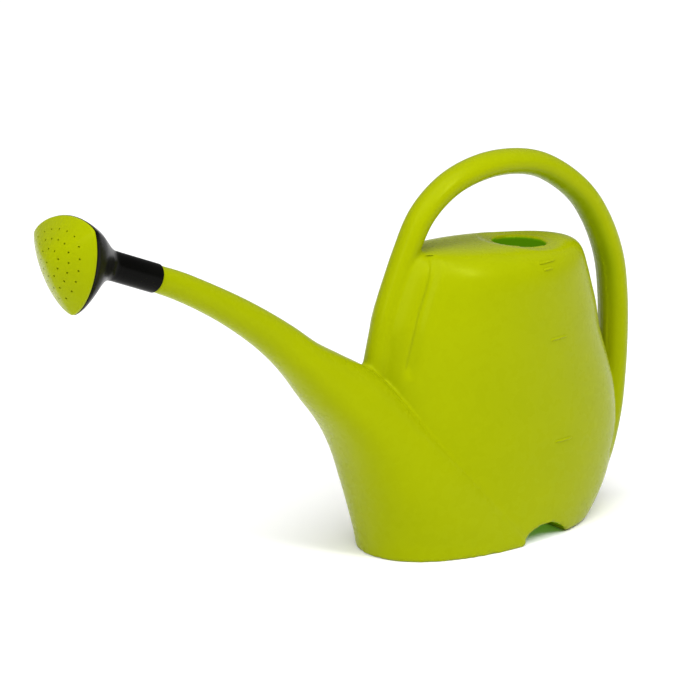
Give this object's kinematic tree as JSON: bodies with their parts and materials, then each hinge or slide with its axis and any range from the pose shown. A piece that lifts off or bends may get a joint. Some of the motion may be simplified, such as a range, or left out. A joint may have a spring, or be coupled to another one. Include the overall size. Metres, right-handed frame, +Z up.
{
  "type": "watering can",
  "caption": "Moulded plastic watering can: a tall tank running into a long tapering spout, a hoop handle down to the heel, and a turning sprinkler rose.",
  "frame": {"origin": "on the floor under the can, at the middle of the tank's footprint, on the mould's parting plane", "axes": "+X from the spout to the handle's back, +Y across the can, +Z up"},
  "size_m": [0.4487, 0.0966, 0.2519],
  "materials": {
    "lime_plastic": "satin, self-coloured moulding with a faint skin texture",
    "black_plastic": "gloss"
  },
  "bodies": {
    "can": {"can_body": "lime_plastic"},
    "rose": {"rose_shell": "black_plastic"},
    "face": {"rose_face": "lime_plastic"}
  },
  "joints": [
    {"name": "rose_turn", "type": "hinge", "parent": "can", "child": "rose", "pos_m": [-0.2447, 0, 0.2047], "axis": [-0.9259, 0, 0.3778], "continuous": true},
    {"name": "face_pull", "type": "slide", "parent": "rose", "child": "face", "axis": [-0.997, -0.0692, 0.036], "range_m": [0, 0.03]}
  ]
}
